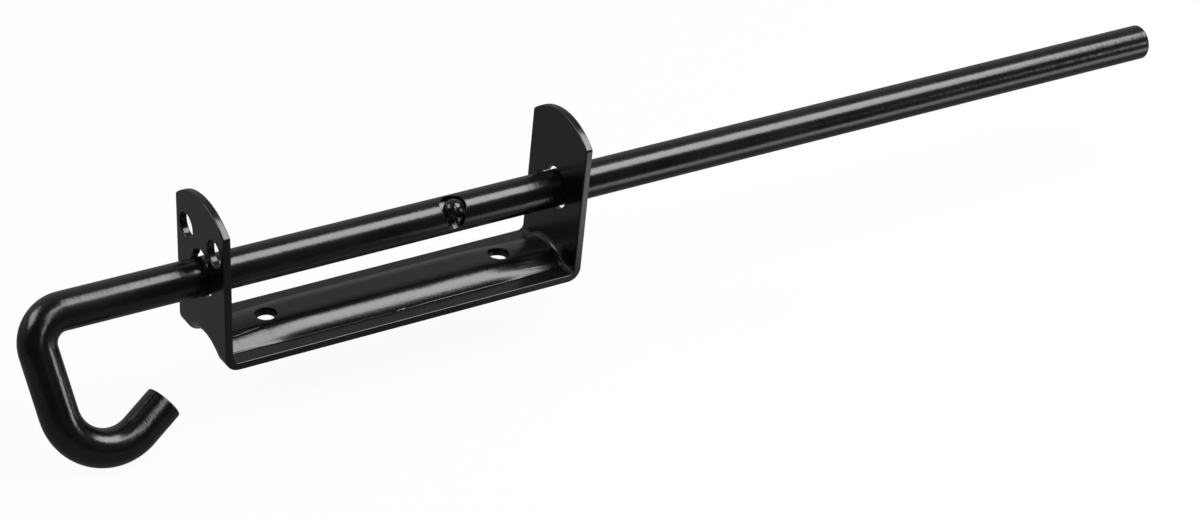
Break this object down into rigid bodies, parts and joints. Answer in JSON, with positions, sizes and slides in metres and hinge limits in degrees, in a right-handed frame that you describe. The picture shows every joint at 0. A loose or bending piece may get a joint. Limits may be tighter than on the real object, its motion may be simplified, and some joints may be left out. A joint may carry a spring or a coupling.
{
  "type": "drop bolt",
  "caption": "Round bar with a bent handle and a stop pin that slides through the ears of a ribbed, folded sheet bracket, which screws down through its base.",
  "frame": {"origin": "midway between the two screw holes, on the crest of the base's rib, where the screw heads bear", "axes": "+X along the bar towards its free end; +Z away from the surface that the bracket is screwed to; -Y towards the side that the handle hangs to"},
  "size_m": [0.4262, 0.0399, 0.0724],
  "materials": {
    "bracket_coat": "semi-gloss black coat on sheet steel",
    "bar_coat": "semi-gloss black coat on round steel bar",
    "pin_coat": "semi-gloss black coat on a ball-headed steel stop"
  },
  "bodies": {
    "bracket": {"bracket": "bracket_coat"},
    "bolt": {"bolt_bar": "bar_coat", "stop_pin": "pin_coat"}
  },
  "joints": [
    {"name": "bolt_slide", "type": "slide", "parent": "bracket", "child": "bolt", "axis": [1, 0, 0], "range_m": [-0.0792, 0.0356]}
  ]
}
